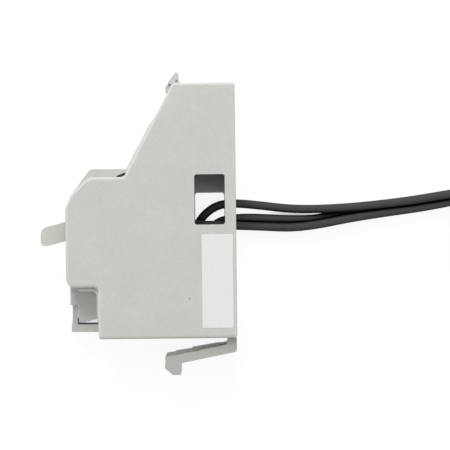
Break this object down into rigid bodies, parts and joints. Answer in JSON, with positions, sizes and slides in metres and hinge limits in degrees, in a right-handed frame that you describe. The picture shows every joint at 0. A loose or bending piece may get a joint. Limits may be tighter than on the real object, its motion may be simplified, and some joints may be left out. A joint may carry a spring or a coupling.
{
  "type": "auxiliary contact block",
  "caption": "Side-mounted auxiliary changeover contact block with a toggle lever, a snap latch, cable windows and flying leads.",
  "frame": {"origin": "under the middle of the block's own box (without its leads), on the surface that its far side lies on", "axes": "+X to the rear face that the leads leave, +Y to the top of the block as mounted, +Z to the near side wall"},
  "size_m": [0.2262, 0.1254, 0.0271],
  "materials": {
    "housing_grey": "light grey moulded polyamide, fine matt grain",
    "lever_grey": "light warm grey moulded plastic, satin",
    "latch_grey": "mid grey moulded acetal, satin",
    "case_black": "black moulded phenolic, matt",
    "plunger_white": "white acetal, smooth",
    "cam_dark": "dark grey acetal, satin",
    "zinc_steel": "zinc plated steel, bright with a blue tint",
    "pin_steel": "drawn steel",
    "brass": "tinned edges, stamped brass",
    "sleeve_clear": "milky insulating sleeve",
    "lead_black": "black soft PVC insulation with a slight sheen",
    "collar_black": "black end sleeve collar with a tinned tube",
    "label_white": "white printed film, bare"
  },
  "bodies": {
    "base": {"case_screws": "zinc_steel", "clamp_screw": "zinc_steel", "clamp_strip": "zinc_steel", "clamp_washer": "zinc_steel", "far_housing": "housing_grey", "latch_pin": "pin_steel", "lower_end_sleeve": "collar_black", "lower_lead": "lead_black", "lower_lead_coil": "lead_black", "lower_receptacle": "sleeve_clear", "lower_tab": "brass", "mechanism_cover": "housing_grey", "middle_end_sleeve": "collar_black", "middle_lead": "lead_black", "middle_lead_coil": "lead_black", "middle_receptacle": "sleeve_clear", "middle_tab": "brass", "near_housing": "housing_grey", "pivot_pin": "pin_steel", "serial_label": "label_white", "switch_case": "case_black", "upper_end_sleeve": "collar_black", "upper_lead": "lead_black", "upper_lead_coil": "lead_black", "upper_receptacle": "sleeve_clear", "upper_tab": "brass"},
    "lever": {"toggle_lever": "lever_grey", "switch_cam": "cam_dark"},
    "plunger": {"switch_plunger": "plunger_white"},
    "latch": {"bottom_latch": "latch_grey"}
  },
  "joints": [
    {"name": "lever_swing", "type": "hinge", "parent": "base", "child": "lever", "pos_m": [-0.0173, -0.00007, 0.0165], "axis": [0, 0, -1], "range_deg": [0, 29]},
    {"name": "plunger_travel", "type": "slide", "parent": "base", "child": "plunger", "axis": [-1, 0, 0], "range_m": [0, 0.0016]},
    {"name": "latch_flex", "type": "hinge", "parent": "base", "child": "latch", "pos_m": [0.0363, -0.04337, 0.0135], "axis": [0, 0, -1], "range_deg": [0, 10], "stiffness_Nm_per_rad": 1}
  ],
  "couplings": [
    {"joint": "plunger_travel", "follows": "lever_swing", "m_per_rad": 0.003067}
  ]
}
